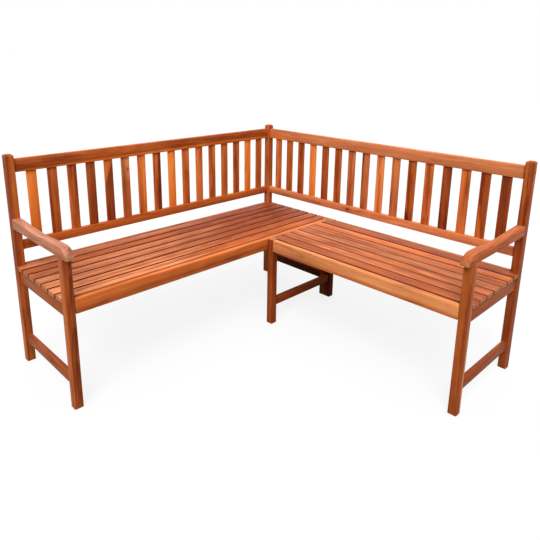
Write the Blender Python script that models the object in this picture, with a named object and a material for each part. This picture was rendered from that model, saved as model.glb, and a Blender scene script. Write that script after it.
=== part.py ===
"""Slatted corner bench in oiled hardwood: a left and a right wing that share one corner post."""

import math

import bmesh
import bpy
from mathutils import Vector

# Overall sizes
LENGTH = 1.480  # outside of the corner post to outside of a free end, the same on both wings
DEPTH = 0.483  # back of the rear posts to front of the front legs
POST_HEIGHT = 0.900
SEAT_HEIGHT = 0.437

# Posts and legs
POST = 0.035  # square section
POST_CROWN = 0.012  # radius on the top edges of the tall posts
POST_CROWN_STEPS = 4
EDGE = 0.004  # radius on the long edges of posts, rails and armrests

# Armrests
ARM_RISE = 0.203  # from the seat up to the top of the armrest, over the leg and at the post
ARM_THICK = 0.042
ARM_REACH = 0.0315  # how far the nose stands out past the front leg
ARM_NOSE = 0.050  # length of the curve that drops from the top to the nose
ARM_NOSE_STEPS = 8
ARM_SCOOP = 0.0085  # how deep the top is hollowed halfway between the leg and the post
ARM_SCOOP_STEPS = 12
LEG_TENON = 0.020  # how far the front leg's tenon rises into the armrest

# Seat frame
APRON_THICK = 0.025  # the front apron, flush with the front of the legs
REAR_APRON_THICK = 0.018  # flush with the back of the posts
APRON_HEIGHT = 0.058
RAIL_THICK = 0.020  # the seat rails at the ends, set in the middle of the posts
RAIL_HEIGHT = 0.057
STRETCHER_BOTTOM = 0.089
STRETCHER_HEIGHT = 0.042
STRETCHER_THICK = 0.020

# Seat panels
SEAT_SLATS = 7
SEAT_SLAT_WIDTH = 0.0525
SEAT_SLAT_THICK = 0.016
SEAT_SLAT_EDGE = 0.003
BEARER_WIDTH = 0.030
BEARER_HEIGHT = 0.030
BEARER_LET_IN = 0.003  # how far the slats are let down over the bearer
NOTCH_CLEARANCE = 0.001  # round the posts and legs, and where the right slats meet the left apron

# Backs
BACK_SLATS = 16
BACK_SLAT_WIDTH = 0.040
BACK_SLAT_THICK = 0.009
BACK_SLAT_EDGE = 0.001
BACK_RAIL_THICK = 0.022
TOP_RAIL_HEIGHT = 0.054
TOP_RAIL_DROP = 0.021  # from the top of a post down to the top rail
LOWER_RAIL_RISE = 0.064  # from the seat up to the lower rail
LOWER_RAIL_HEIGHT = 0.039

# Joints
FIT = 0.0003  # between pieces that touch, and round a tenon
TENON = 0.009
SHOULDER = 0.006  # on every side of a rail's tenon
SLAT_SHOULDER = 0.0015  # on every side of a back slat's tenon
BOLT_HEAD_BORE = 0.012
BOLT_HEAD_DEPTH = 0.010
BOLT_BORE = 0.0066
BOLT_REACH = 0.045  # depth of the bore in the end of the top rail
BORE_SIDES = 16

# Planes that the pieces share, in a wing's own terms: along it, across it and up
BACK = LENGTH / 2
FRONT = BACK - DEPTH
FREE_END = -LENGTH / 2
RIGHT_START = FRONT - FIT
SLAT_BOTTOM = SEAT_HEIGHT - SEAT_SLAT_THICK
APRON_BOTTOM = SEAT_HEIGHT - APRON_HEIGHT
RAIL_TOP = SLAT_BOTTOM - FIT
RAIL_BOTTOM = RAIL_TOP - RAIL_HEIGHT
SEAT_CLEAR = (FRONT + APRON_THICK, BACK - REAR_APRON_THICK)  # between a wing's two aprons
ARM_TOP = SEAT_HEIGHT + ARM_RISE
ARM_UNDERSIDE = ARM_TOP - ARM_THICK
TOP_RAIL_TOP = POST_HEIGHT - TOP_RAIL_DROP
TOP_RAIL_BOTTOM = TOP_RAIL_TOP - TOP_RAIL_HEIGHT
LOWER_RAIL_BOTTOM = SEAT_HEIGHT + LOWER_RAIL_RISE
LOWER_RAIL_TOP = LOWER_RAIL_BOTTOM + LOWER_RAIL_HEIGHT

ALONG, ACROSS, UP = range(3)
ROUND = 0.5  # the bevel profile of a quarter circle

# Tones of the oiled wood, from sapwood orange to heartwood brown
TONES = {
    "orange": (0.62, 0.19, 0.06),
    "tan": (0.52, 0.19, 0.09),
    "red": (0.38, 0.11, 0.045),
    "brown": (0.25, 0.07, 0.03),
}
SLAT_TONES = ("orange", "tan", "brown", "red", "red")

mortises = {}


def left(along, across, up):
    """The left wing runs along X, with its back to +Y."""
    return Vector((along, across, up))


def right(along, across, up):
    """The right wing runs along Y, with its back to +X, as a mirror image of the left."""
    return Vector((across, along, up))


def clear_scene():
    for thing in list(bpy.data.objects):
        bpy.data.objects.remove(thing, do_unlink=True)


def oiled_wood(name, tone):
    material = bpy.data.materials.new(name)
    material.use_nodes = True
    shader = material.node_tree.nodes["Principled BSDF"]
    shader.inputs["Base Color"].default_value = (*TONES[tone], 1.0)
    shader.inputs["Roughness"].default_value = 0.5
    shader.inputs["Metallic"].default_value = 0.0
    return material


def place_mesh(name, bm, place):
    """Turns a mesh in a wing's terms into an object with its origin at the middle of the piece."""
    for vert in bm.verts:
        vert.co = place(*vert.co)
    low = Vector([min(v.co[i] for v in bm.verts) for i in range(3)])
    high = Vector([max(v.co[i] for v in bm.verts) for i in range(3)])
    middle = (low + high) / 2
    bmesh.ops.translate(bm, vec=-middle, verts=bm.verts)
    bmesh.ops.recalc_face_normals(bm, faces=bm.faces)
    mesh = bpy.data.meshes.new(name)
    bm.to_mesh(mesh)
    bm.free()
    thing = bpy.data.objects.new(name, mesh)
    thing.location = middle
    bpy.context.scene.collection.objects.link(thing)
    return thing


def add_piece(name, bm, place, tone):
    """A visible piece of the bench, carried by its wing's empty."""
    piece = place_mesh(name, bm, place)
    piece.data.materials.append(oiled_wood(name, tone))
    piece.data.shade_smooth()
    piece.data.set_sharp_from_angle(angle=math.radians(35))
    piece.parent = bpy.data.objects["left_wing" if place is left else "right_wing"]
    return piece


def add_cutter(name, bm, place):
    cutter = place_mesh(name, bm, place)
    cutter.hide_render = True
    cutter.display_type = "WIRE"
    return cutter


def boolean(piece, other, operation):
    modifier = piece.modifiers.new(other.name, "BOOLEAN")
    modifier.object = other
    modifier.operation = operation
    modifier.solver = "EXACT"


def add_block(bm, box):
    """Adds a plain block to a mesh. A box is three (low, high) pairs: along, across and up."""
    made = bmesh.ops.create_cube(bm, size=1.0)
    bmesh.ops.scale(bm, vec=[high - low for low, high in box], verts=made["verts"])
    bmesh.ops.translate(bm, vec=[(high + low) / 2 for low, high in box], verts=made["verts"])
    return made["verts"]


def grow(box, clearance):
    return [(low - clearance, high + clearance) for low, high in box]


def end_face(bm, axis, sign):
    faces = [f for f in bm.faces if f.normal[axis] * sign > 0.99]
    return max(faces, key=lambda f: f.calc_center_median()[axis] * sign)


def add_tenon(bm, axis, sign, shoulder, length):
    """Draws a tenon out of one end, set in by the same shoulder on every side."""
    bm.normal_update()
    face = end_face(bm, axis, sign)
    bmesh.ops.inset_individual(bm, faces=[face], thickness=shoulder, use_even_offset=True)
    drawn = bmesh.ops.extrude_discrete_faces(bm, faces=[face])["faces"][0]
    step = Vector((0, 0, 0))
    step[axis] = sign * length
    bmesh.ops.translate(bm, vec=step, verts=drawn.verts)


def tenon_box(box, axis, sign, shoulder, length):
    """Where the tenon of a board lies."""
    cheeks = grow(box, -shoulder)
    low, high = box[axis]
    cheeks[axis] = (high, high + length) if sign > 0 else (low - length, low)
    return cheeks


def long_edges(bm, box, axis):
    """The four edges of a board that run its whole length."""
    others = [i for i in (ALONG, ACROSS, UP) if i != axis]

    def at_corner(vert):
        return all(min(abs(vert.co[i] - side) for side in box[i]) < 1e-6 for i in others)

    return [e for e in bm.edges if all(at_corner(v) for v in e.verts) and e.calc_length() > POST / 2]


def round_edges(bm, edges, radius, segments=2):
    bmesh.ops.bevel(
        bm,
        geom=edges,
        offset=radius,
        segments=segments,
        affect="EDGES",
        profile=ROUND,
    )


def mortise(host, place, box):
    """Notes a pocket to be cut in the host for a tenon, with the fit all round it."""
    corners = [place(*[pair[end] for pair in grow(box, FIT)]) for end in (0, 1)]
    mortises.setdefault(host, []).append([(corners[0][i], corners[1][i]) for i in range(3)])


def board(name, place, box, axis, tone, hosts, shoulder=SHOULDER, length=TENON, edge=EDGE):
    """A straight board with eased edges, tenoned at both ends into its two hosts."""
    body = list(box)
    body[axis] = (box[axis][0] + FIT, box[axis][1] - FIT)
    bm = bmesh.new()
    add_block(bm, body)
    for sign, host in zip((-1, 1), hosts):
        add_tenon(bm, axis, sign, shoulder, length)
        mortise(host, place, tenon_box(body, axis, sign, shoulder, length))
    round_edges(bm, long_edges(bm, body, axis), edge)
    return add_piece(name, bm, place, tone)


def post(name, place, along, across, height, tone, crowned=False, tenon=0.0):
    """An upright of square section. Its top is crowned, tenoned or left square."""
    box = [along, across, (0.0, height)]
    bm = bmesh.new()
    add_block(bm, box)
    if tenon:
        add_tenon(bm, UP, 1, SHOULDER, tenon)
    if crowned:
        top = [e for e in bm.edges if all(v.co.z > height - 1e-6 for v in e.verts)]
        round_edges(bm, top, POST_CROWN, POST_CROWN_STEPS)
    uprights = [e for e in bm.edges if abs(e.verts[0].co.z - e.verts[1].co.z) > height / 2]
    round_edges(bm, uprights, EDGE)
    return add_piece(name, bm, place, tone)


def armrest_outline(nose, rear):
    """The side of an armrest: flat below, hollowed on top, and falling in a curve to the nose."""
    crest = nose + ARM_NOSE
    outline = [(rear, ARM_UNDERSIDE)]
    for step in range(ARM_SCOOP_STEPS):
        back = 1 - step / ARM_SCOOP_STEPS
        dip = ARM_SCOOP * math.sin(math.pi * back) ** 2
        outline.append((crest + (rear - crest) * back, ARM_TOP - dip))
    for step in range(ARM_NOSE_STEPS + 1):
        turn = math.radians(90) * step / ARM_NOSE_STEPS
        fall = ARM_NOSE * math.sin(turn)
        outline.append((crest - fall, ARM_UNDERSIDE + ARM_THICK * math.cos(turn)))
    return outline


def armrest(name, place, tone, rear_post):
    """A scooped bar, tenoned into the rear post and seated on the front leg's tenon."""
    rear = BACK - POST - FIT
    nose = FRONT - ARM_REACH
    bm = bmesh.new()
    verts = [bm.verts.new((FREE_END, across, up)) for across, up in armrest_outline(nose, rear)]
    face = bm.faces.new(verts)
    drawn = bmesh.ops.extrude_face_region(bm, geom=[face])["geom"]
    moved = [v for v in drawn if isinstance(v, bmesh.types.BMVert)]
    bmesh.ops.translate(bm, vec=(POST, 0, 0), verts=moved)
    bmesh.ops.recalc_face_normals(bm, faces=bm.faces)
    box = [(FREE_END, FREE_END + POST), (nose, rear), (ARM_UNDERSIDE, ARM_TOP)]
    add_tenon(bm, ACROSS, 1, SHOULDER, TENON)
    mortise(rear_post, place, tenon_box(box, ACROSS, 1, SHOULDER, TENON))
    seat = [(FREE_END, FREE_END + POST), (FRONT, FRONT + POST), (0.0, ARM_UNDERSIDE - FIT)]
    mortise(name, place, tenon_box(seat, UP, 1, SHOULDER, LEG_TENON))
    sides = (FREE_END, FREE_END + POST)
    rim = [
        e
        for e in bm.edges
        if abs(e.verts[0].co.x - e.verts[1].co.x) < 1e-6
        and min(abs(e.verts[0].co.x - side) for side in sides) < 1e-6
        and max(v.co.y for v in e.verts) - min(v.co.y for v in e.verts) > 1e-4
    ]
    round_edges(bm, rim, EDGE)
    return add_piece(name, bm, place, tone)


def seat_slat_spans():
    """Where each seat slat lies across its wing, evenly spaced between the two aprons."""
    gap = (SEAT_CLEAR[1] - SEAT_CLEAR[0] - SEAT_SLATS * SEAT_SLAT_WIDTH) / (SEAT_SLATS + 1)
    starts = [SEAT_CLEAR[0] + gap + n * (SEAT_SLAT_WIDTH + gap) for n in range(SEAT_SLATS)]
    return [(start, start + SEAT_SLAT_WIDTH) for start in starts]


def seat_panel(side, place, along, uprights, tone):
    """Seven slats let down over one bearer, notched round the uprights at their ends."""
    middle = (along[0] + along[1]) / 2
    bearer_top = SLAT_BOTTOM + BEARER_LET_IN
    bearer_box = [
        (middle - BEARER_WIDTH / 2, middle + BEARER_WIDTH / 2),
        (SEAT_CLEAR[0] + FIT, SEAT_CLEAR[1] - FIT),
        (SLAT_BOTTOM - BEARER_HEIGHT, bearer_top),
    ]
    bm = bmesh.new()
    add_block(bm, bearer_box)
    for sign, host in ((-1, "front_apron"), (1, "rear_apron")):
        add_tenon(bm, ACROSS, sign, SHOULDER, TENON)
        mortise(f"{side}_{host}", place, tenon_box(bearer_box, ACROSS, sign, SHOULDER, TENON))
    panel = add_piece(f"{side}_seat_panel", bm, place, tone)
    for number, across in enumerate(seat_slat_spans(), 1):
        box = [along, across, (SLAT_BOTTOM, SEAT_HEIGHT)]
        bm = bmesh.new()
        add_block(bm, box)
        round_edges(bm, long_edges(bm, box, ALONG), SEAT_SLAT_EDGE)
        boolean(panel, add_cutter(f"{side}_seat_slat_{number}", bm, place), "UNION")
    bm = bmesh.new()
    for upright in uprights:
        add_block(bm, grow([*upright, (SLAT_BOTTOM, SEAT_HEIGHT)], NOTCH_CLEARANCE))
    boolean(panel, add_cutter(f"{side}_seat_notches", bm, place), "DIFFERENCE")
    return panel


def back_slat_spans():
    """Where each back slat lies along its wing, evenly spaced between the posts."""
    clear = (FREE_END + POST, BACK - POST)
    gap = (clear[1] - clear[0] - BACK_SLATS * BACK_SLAT_WIDTH) / (BACK_SLATS + 1)
    starts = [clear[0] + gap + n * (BACK_SLAT_WIDTH + gap) for n in range(BACK_SLATS)]
    return [(start, start + BACK_SLAT_WIDTH) for start in starts]


def centred(middle, width):
    return (middle - width / 2, middle + width / 2)


def bolt_bore(bm, start, stop, diameter, up):
    """A round bore along the wing, in the middle of the post and the rail."""
    made = bmesh.ops.create_cone(
        bm,
        cap_ends=True,
        segments=BORE_SIDES,
        radius1=diameter / 2,
        radius2=diameter / 2,
        depth=stop - start,
    )
    for vert in made["verts"]:
        x, y, z = vert.co
        vert.co = ((start + stop) / 2 + z, BACK - POST / 2 + y, up + x)


def bolted_end(side, place):
    """A counterbored hole from the outside of the free end's post into the end of the top rail."""
    up = (TOP_RAIL_BOTTOM + TOP_RAIL_TOP) / 2
    outside = FREE_END - BOLT_HEAD_DEPTH
    bm = bmesh.new()
    bolt_bore(bm, outside, FREE_END + BOLT_HEAD_DEPTH, BOLT_HEAD_BORE, up)
    head = add_cutter(f"{side}_bolt_head_bore", bm, place)
    bm = bmesh.new()
    bolt_bore(bm, outside, FREE_END + POST + BOLT_REACH, BOLT_BORE, up)
    shank = add_cutter(f"{side}_bolt_bore", bm, place)
    boolean(bpy.data.objects[f"{side}_rear_post"], head, "DIFFERENCE")
    boolean(bpy.data.objects[f"{side}_rear_post"], shank, "DIFFERENCE")
    boolean(bpy.data.objects[f"{side}_top_rail"], shank, "DIFFERENCE")


def back(side, place, tones):
    """Two rails between the tall posts, and the slats tenoned into both."""
    along = (FREE_END + POST, BACK - POST)
    rail_across = centred(BACK - POST / 2, BACK_RAIL_THICK)
    posts = (f"{side}_rear_post", "corner_post")
    top_rail = f"{side}_top_rail"
    lower_rail = f"{side}_lower_rail"
    top_box = [along, rail_across, (TOP_RAIL_BOTTOM, TOP_RAIL_TOP)]
    lower_box = [along, rail_across, (LOWER_RAIL_BOTTOM, LOWER_RAIL_TOP)]
    board(top_rail, place, top_box, ALONG, tones[0], posts)
    board(lower_rail, place, lower_box, ALONG, tones[1], posts)
    slat_across = centred(BACK - POST / 2, BACK_SLAT_THICK)
    for number, span in enumerate(back_slat_spans(), 1):
        board(
            f"{side}_back_slat_{number:02d}",
            place,
            [span, slat_across, (LOWER_RAIL_TOP, TOP_RAIL_BOTTOM)],
            UP,
            SLAT_TONES[number % len(SLAT_TONES)],
            (lower_rail, top_rail),
            shoulder=SLAT_SHOULDER,
            edge=BACK_SLAT_EDGE,
        )


def end_frame(side, which, place, along, hosts, tone):
    """The seat rail and the lower stretcher that join the front and rear uprights of one end."""
    middle = (along[0] + along[1]) / 2
    across = (FRONT + POST, BACK - POST)
    rail = [centred(middle, RAIL_THICK), across, (RAIL_BOTTOM, RAIL_TOP)]
    board(f"{side}_{which}_rail", place, rail, ACROSS, tone, hosts)
    lift = (STRETCHER_BOTTOM, STRETCHER_BOTTOM + STRETCHER_HEIGHT)
    stretcher = [centred(middle, STRETCHER_THICK), across, lift]
    board(f"{side}_{which}_stretcher", place, stretcher, ACROSS, tone, hosts)


def aprons(side, place, along, front_hosts, rear_hosts, tones):
    up = (APRON_BOTTOM, SEAT_HEIGHT)
    front_box = [along, (FRONT, FRONT + APRON_THICK), up]
    rear_box = [along, (BACK - REAR_APRON_THICK, BACK), up]
    board(f"{side}_front_apron", place, front_box, ALONG, tones[0], front_hosts)
    board(f"{side}_rear_apron", place, rear_box, ALONG, tones[1], rear_hosts)


def free_end(side, place, tone):
    """The outer end of a wing: a tall post, a front leg and the armrest on them."""
    along = (FREE_END, FREE_END + POST)
    rear_post = f"{side}_rear_post"
    front_leg = f"{side}_front_leg"
    post(rear_post, place, along, (BACK - POST, BACK), POST_HEIGHT, tone, crowned=True)
    leg_height = ARM_UNDERSIDE - FIT
    post(front_leg, place, along, (FRONT, FRONT + POST), leg_height, tone, tenon=LEG_TENON)
    end_frame(side, "end", place, along, (front_leg, rear_post), "red")
    armrest(f"{side}_armrest", place, "tan", rear_post)
    return along


def inner_end(side, place, stop, front_leg, rear_leg):
    """The end of a wing by the corner, whose uprights are made by the caller."""
    end_frame(side, "inner", place, (stop - POST, stop), (front_leg, rear_leg), "brown")


def left_wing():
    """The wing whose seat fills the corner. It owns the corner post."""
    free_along = free_end("left", left, "red")
    near = (BACK - POST, BACK)
    rear_across = (BACK - POST, BACK)
    front_across = (FRONT, FRONT + POST)
    post("corner_post", left, near, rear_across, POST_HEIGHT, "red", crowned=True)
    post("left_inner_leg", left, near, front_across, SEAT_HEIGHT, "red")
    inner_end("left", left, BACK, "left_inner_leg", "corner_post")
    fronts = ("left_front_leg", "left_inner_leg")
    rears = ("left_rear_post", "corner_post")
    aprons("left", left, (free_along[1], near[0]), fronts, rears, ("red", "brown"))
    uprights = [(a, b) for a in (free_along, near) for b in (front_across, rear_across)]
    seat_panel("left", left, (FREE_END, BACK), uprights, "tan")
    back("left", left, ("red", "orange"))
    bolted_end("left", left)


def right_wing():
    """The shorter seat, which butts against the left wing's front apron on two legs of its own."""
    free_along = free_end("right", right, "red")
    near = (RIGHT_START - POST, RIGHT_START)
    rear_across = (BACK - POST, BACK)
    front_across = (FRONT, FRONT + POST)
    post("right_inner_front_leg", right, near, front_across, SEAT_HEIGHT, "red")
    post("right_inner_rear_leg", right, near, rear_across, SEAT_HEIGHT, "brown")
    inner_end("right", right, RIGHT_START, "right_inner_front_leg", "right_inner_rear_leg")
    fronts = ("right_front_leg", "right_inner_front_leg")
    rears = ("right_rear_post", "right_inner_rear_leg")
    aprons("right", right, (free_along[1], near[0]), fronts, rears, ("orange", "brown"))
    uprights = [(a, b) for a in (free_along, near) for b in (front_across, rear_across)]
    seat_panel("right", right, (FREE_END, FRONT - NOTCH_CLEARANCE), uprights, "tan")
    back("right", right, ("tan", "tan"))
    bolted_end("right", right)


def cut_mortises():
    """Cuts every pocket that the tenons asked for."""
    for host, boxes in mortises.items():
        bm = bmesh.new()
        for box in boxes:
            add_block(bm, box)
        cutter = add_cutter(f"{host}_mortises", bm, left)
        boolean(bpy.data.objects[host], cutter, "DIFFERENCE")


def main():
    clear_scene()
    for name in ("left_wing", "right_wing"):
        empty = bpy.data.objects.new(name, None)
        bpy.context.scene.collection.objects.link(empty)
    left_wing()
    right_wing()
    cut_mortises()


main()
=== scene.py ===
# %% [markdown]
# A slatted corner bench for the garden, in oiled hardwood. Two wings meet at a right angle and
# share one corner post. The frame's solids are already at their real size, so this script is
# about what makes sawn boards look like wood, and about the light. It could paint all of them
# with one brown, but no two boards of a bench come from the same plank, and that is most of what
# the eye reads as real timber.

# %% Load the frame
import math
import random

import bmesh
import bpy
from mathutils import Matrix, Vector


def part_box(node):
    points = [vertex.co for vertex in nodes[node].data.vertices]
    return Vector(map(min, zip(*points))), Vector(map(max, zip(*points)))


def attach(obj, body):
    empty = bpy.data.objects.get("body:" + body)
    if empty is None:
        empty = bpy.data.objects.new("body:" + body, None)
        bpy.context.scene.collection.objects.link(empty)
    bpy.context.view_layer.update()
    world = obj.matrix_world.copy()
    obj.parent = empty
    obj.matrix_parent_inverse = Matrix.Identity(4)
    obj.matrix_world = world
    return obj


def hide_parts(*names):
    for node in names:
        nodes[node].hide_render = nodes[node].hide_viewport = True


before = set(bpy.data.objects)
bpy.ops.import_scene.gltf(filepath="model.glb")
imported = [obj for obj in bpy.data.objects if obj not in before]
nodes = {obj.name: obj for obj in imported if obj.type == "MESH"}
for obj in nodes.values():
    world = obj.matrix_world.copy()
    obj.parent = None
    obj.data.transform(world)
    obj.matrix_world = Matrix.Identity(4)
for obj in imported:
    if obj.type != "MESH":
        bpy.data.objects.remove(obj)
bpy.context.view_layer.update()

print("boards in the frame:", len(nodes))

# %% [markdown]
# The camera stands at chest height in front of the bench, on the diagonal of the corner, and
# looks down a little. A camera can be aimed with a tracking constraint, but this one leans by a
# fraction of a degree and its picture is cropped off centre, so its three axes are worked out
# from its turn, dip and roll, and the crop becomes a lens shift.

# %% Camera
PICTURE = 540  # pixels along each side
FOCAL_LENGTH = 531.2  # in pixels
PICTURE_MIDDLE = (263.6, 196.1)  # the pixel that the lens points at
CAMERA_PLACE = Vector((-1.440, -1.444, 1.284))
CAMERA_TURN = math.radians(44.44)  # from +Y towards +X
CAMERA_DIP = math.radians(14.84)
CAMERA_ROLL = math.radians(0.64)


def camera_axes(turn, dip, roll):
    """The camera's right, up and backward directions."""
    level_reach = math.cos(dip)
    ahead = Vector((math.sin(turn) * level_reach, math.cos(turn) * level_reach, -math.sin(dip)))
    level = Vector((math.cos(turn), -math.sin(turn), 0))
    above = level.cross(ahead)
    right = math.cos(roll) * level + math.sin(roll) * above
    up = math.cos(roll) * above - math.sin(roll) * level
    return right, up, -ahead


def put_in_scene(name, data):
    """Adds an object for a camera, a lamp or a mesh."""
    made = bpy.data.objects.new(name, data)
    bpy.context.scene.collection.objects.link(made)
    return made


camera = put_in_scene("camera", bpy.data.cameras.new("camera"))
axes = Matrix(camera_axes(CAMERA_TURN, CAMERA_DIP, CAMERA_ROLL)).transposed()
camera.matrix_world = Matrix.Translation(CAMERA_PLACE) @ axes.to_4x4()
camera.data.lens = FOCAL_LENGTH / PICTURE * camera.data.sensor_width
camera.data.shift_x = (PICTURE / 2 - PICTURE_MIDDLE[0]) / PICTURE
camera.data.shift_y = (PICTURE_MIDDLE[1] - PICTURE / 2) / PICTURE
bpy.context.scene.camera = camera
bpy.context.scene.view_settings.view_transform = "Standard"
print("lens", round(camera.data.lens, 1), "mm at", tuple(round(v, 2) for v in CAMERA_PLACE))

# %% [markdown]
# Node materials are read from left to right, and most of their nodes are sums. A few small
# helpers keep that readable: one adds any node and fills its inputs, two do arithmetic, and one
# takes a vector apart. Nodes could also be placed by hand in the editor, but this wood has over a
# hundred.

# %% Helpers that add nodes
def fill(tree, socket, value):
    """Gives a socket a number or a colour, or links another node's output to it."""
    if isinstance(value, bpy.types.NodeSocket):
        tree.links.new(value, socket)
    else:
        socket.default_value = value


def add_node(tree, kind, inputs=None, **settings):
    """Adds a node, sets its settings and fills its inputs."""
    made = tree.nodes.new(kind)
    for key, value in settings.items():
        setattr(made, key, value)
    for key, value in (inputs or {}).items():
        fill(tree, made.inputs[key], value)
    return made


def calculate(tree, operation, *values):
    """One sum on numbers."""
    inputs = dict(enumerate(values))
    return add_node(tree, "ShaderNodeMath", inputs, operation=operation).outputs[0]


def calculate_vector(tree, operation, *values):
    """One sum on vectors."""
    inputs = dict(enumerate(values))
    made = add_node(tree, "ShaderNodeVectorMath", inputs, operation=operation)
    return made.outputs["Value" if operation in ("LENGTH", "DOT_PRODUCT") else "Vector"]


def parts_of(tree, vector):
    """The X, Y and Z of a vector."""
    return add_node(tree, "ShaderNodeSeparateXYZ", {0: vector}).outputs


print("helpers: fill, add_node, calculate, calculate_vector, parts_of")

# %% [markdown]
# The next helpers make masks and mixes. A soft step turns a slope into a mask. Noise on wood is
# never round: a blot is drawn out along the grain, so the noise is given its blots per metre on
# each axis of the board. Colours are written as a screen shows them, from 0 to 255, because that
# is how a person picks them.

# %% Helpers for masks and colours
NOISE_ROUGHNESS = 0.6  # how much the small blots count beside the large ones
NOISE_MIDDLE = 0.5  # noise runs from 0 to 1 and is this on average


def soft_step(tree, value, start, end):
    """0 at start, 1 at end and a smooth change between, whichever of the two is larger."""
    inputs = {"Value": value, "From Min": start, "From Max": end}
    made = add_node(tree, "ShaderNodeMapRange", inputs, interpolation_type="SMOOTHSTEP")
    return made.outputs["Result"]


def mix_colour(tree, share, first, second):
    """first where share is 0, second where it is 1."""
    made = add_node(tree, "ShaderNodeMix", data_type="RGBA")
    for number, value in ((0, share), (6, first), (7, second)):
        fill(tree, made.inputs[number], value)
    return made.outputs[2]


def stretched_noise(tree, point, stretch, detail=2.0):
    """Noise drawn out along the grain. stretch is blots per metre on each axis."""
    scaled = calculate_vector(tree, "MULTIPLY", point, stretch)
    inputs = {"Vector": scaled, "Scale": 1.0, "Detail": detail, "Roughness": NOISE_ROUGHNESS}
    return add_node(tree, "ShaderNodeTexNoise", inputs).outputs


def weighted_sum(tree, start, figure, weights):
    """start plus each named pattern of the board, times its weight."""
    total = start
    for name, weight in weights.items():
        total = calculate(tree, "MULTIPLY_ADD", figure[name], weight, total)
    return total


def colour(red, green, blue):
    """A screen colour in the linear values that nodes use, by the curve of the sRGB standard."""
    values = (red / 255, green / 255, blue / 255)
    return (*(v / 12.92 if v <= 0.04045 else ((v + 0.055) / 1.055) ** 2.4 for v in values), 1.0)


print("a middle grey of 188 is", round(colour(188, 188, 188)[0], 2), "in linear light")

# %% [markdown]
# Wood could be a flat texture laid on each face, but then a board's end wouldn't agree with its
# sides. Here the figure is solid, as in a real log: growth rings stand round a pith that lies
# outside the board, nearly along it. A board cut near the pith shows arches on its face, one cut
# far from it shows straight lines, and the sawn end shows the rings themselves.

# %% Growth rings
RING_SPACING = 0.0052
RING_SHAPE = 2.2  # above 1, each year darkens slowly at first
WANDER = (1.7, 11.0, 11.0)  # blots per metre along, across and through the board
WANDER_REACH = 0.011  # how far the rings stray from true circles


def stray(tree, point, stretch, reach):
    """A slow random shift across and through the board, by up to reach either way."""
    noise = stretched_noise(tree, point, stretch)["Color"]
    centred = calculate_vector(tree, "SUBTRACT", noise, (NOISE_MIDDLE,) * 3)
    return calculate_vector(tree, "MULTIPLY", centred, (0.0, 2 * reach, 2 * reach))


def ring_shade(tree, point, noise_point, pith, lean, push):
    """How dark the growth ring is at a point: a slow rise through each year and a sudden fall."""
    strays = stray(tree, noise_point, WANDER, WANDER_REACH)
    along = dict.fromkeys(range(3), parts_of(tree, point)["X"])
    along = add_node(tree, "ShaderNodeCombineXYZ", along).outputs[0]
    leaning = calculate_vector(tree, "MULTIPLY", along, lean)
    place = calculate_vector(tree, "MULTIPLY", point, (0.0, 1.0, 1.0))
    for shift in (pith, strays, leaning):
        place = calculate_vector(tree, "ADD", place, shift)
    from_pith = calculate(tree, "ADD", calculate_vector(tree, "LENGTH", place), push)
    year = calculate(tree, "FRACT", calculate(tree, "DIVIDE", from_pith, RING_SPACING))
    return calculate(tree, "POWER", year, RING_SHAPE)


print("a year is", RING_SPACING * 1000, "mm wide")

# %% [markdown]
# A knot is the root of a branch. It is a small dark eye, and the rings bend round it for three
# times its width. Painting only a dark dot would look like a stain, so the knot also pushes the
# rings.

# %% Knots
KNOT_STRETCH = 0.6  # a knot is longer along the grain than across it
KNOT_RAGGED = (90.0, 90.0, 90.0)  # blots per metre that fray its rim
KNOT_EYE = (1.25, 0.5)  # in radii of the knot: where its eye begins and where it is full
KNOT_HALO = (3.4, 0.9)  # the same for the grain that bends round it
KNOT_PUSH = 0.012
NO_RADIUS = 1e-5  # stands in for 0 on a board with no knot


def knot_masks(tree, point, knot):
    """The eye of a knot and the halo round it. knot is X, Y and radius."""
    away = calculate_vector(tree, "SUBTRACT", point, knot)
    away = calculate_vector(tree, "MULTIPLY", away, (KNOT_STRETCH, 1.0, 0.0))
    away = calculate_vector(tree, "LENGTH", away)
    ragged = stretched_noise(tree, point, KNOT_RAGGED)["Fac"]
    ragged = calculate(tree, "ADD", ragged, 1 - NOISE_MIDDLE)
    radius = calculate(tree, "MULTIPLY", parts_of(tree, knot)["Z"], ragged)
    radius = calculate(tree, "MAXIMUM", radius, NO_RADIUS)
    share = calculate(tree, "DIVIDE", away, radius)
    return soft_step(tree, share, *KNOT_EYE), soft_step(tree, share, *KNOT_HALO)


print("a knot bends the grain by up to", KNOT_PUSH * 1000, "mm")

# %% [markdown]
# Three masks tell where a board's edges are lightened, where it is sawn and where it faces a
# gap. The long edges are lightened, partly because the oil wears off a corner first and partly
# as a painted highlight. A sawn end drinks oil and dries out duller than the sides, and the
# drier the board, the more it does. And the sides of the seat slats, down in the narrow gaps
# between them, are darkened with painted shade.

# %% Edges, sawn ends and gaps with painted shade
# The edge band is where rubbed-thin oil and a painted highlight lighten the long edges.
EDGE_BAND = 0.0040  # how far in from an edge the oil is rubbed thin
FACES_ALONG = (0.80, 0.97)  # a normal points less along the board on a side, more on a sawn end
FACES_ACROSS = (0.30, 0.75)  # and less across it on a slat's top, more on its side


def edge_mask(tree, point, half_size):
    """1 on the long edges of a board, 0 on its flats."""
    inside = calculate_vector(tree, "ABSOLUTE", point)
    inside = parts_of(tree, calculate_vector(tree, "SUBTRACT", half_size, inside))
    from_side = soft_step(tree, inside["Y"], EDGE_BAND, 0.0)
    return calculate(tree, "MULTIPLY", from_side, soft_step(tree, inside["Z"], EDGE_BAND, 0.0))


def facing_masks(tree, facing):
    """Where a face looks along the board, and where it looks across it. facing is its normal."""
    facing = parts_of(tree, calculate_vector(tree, "ABSOLUTE", facing))
    sawn = soft_step(tree, facing["X"], *FACES_ALONG)
    return sawn, soft_step(tree, facing["Y"], *FACES_ACROSS)


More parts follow.
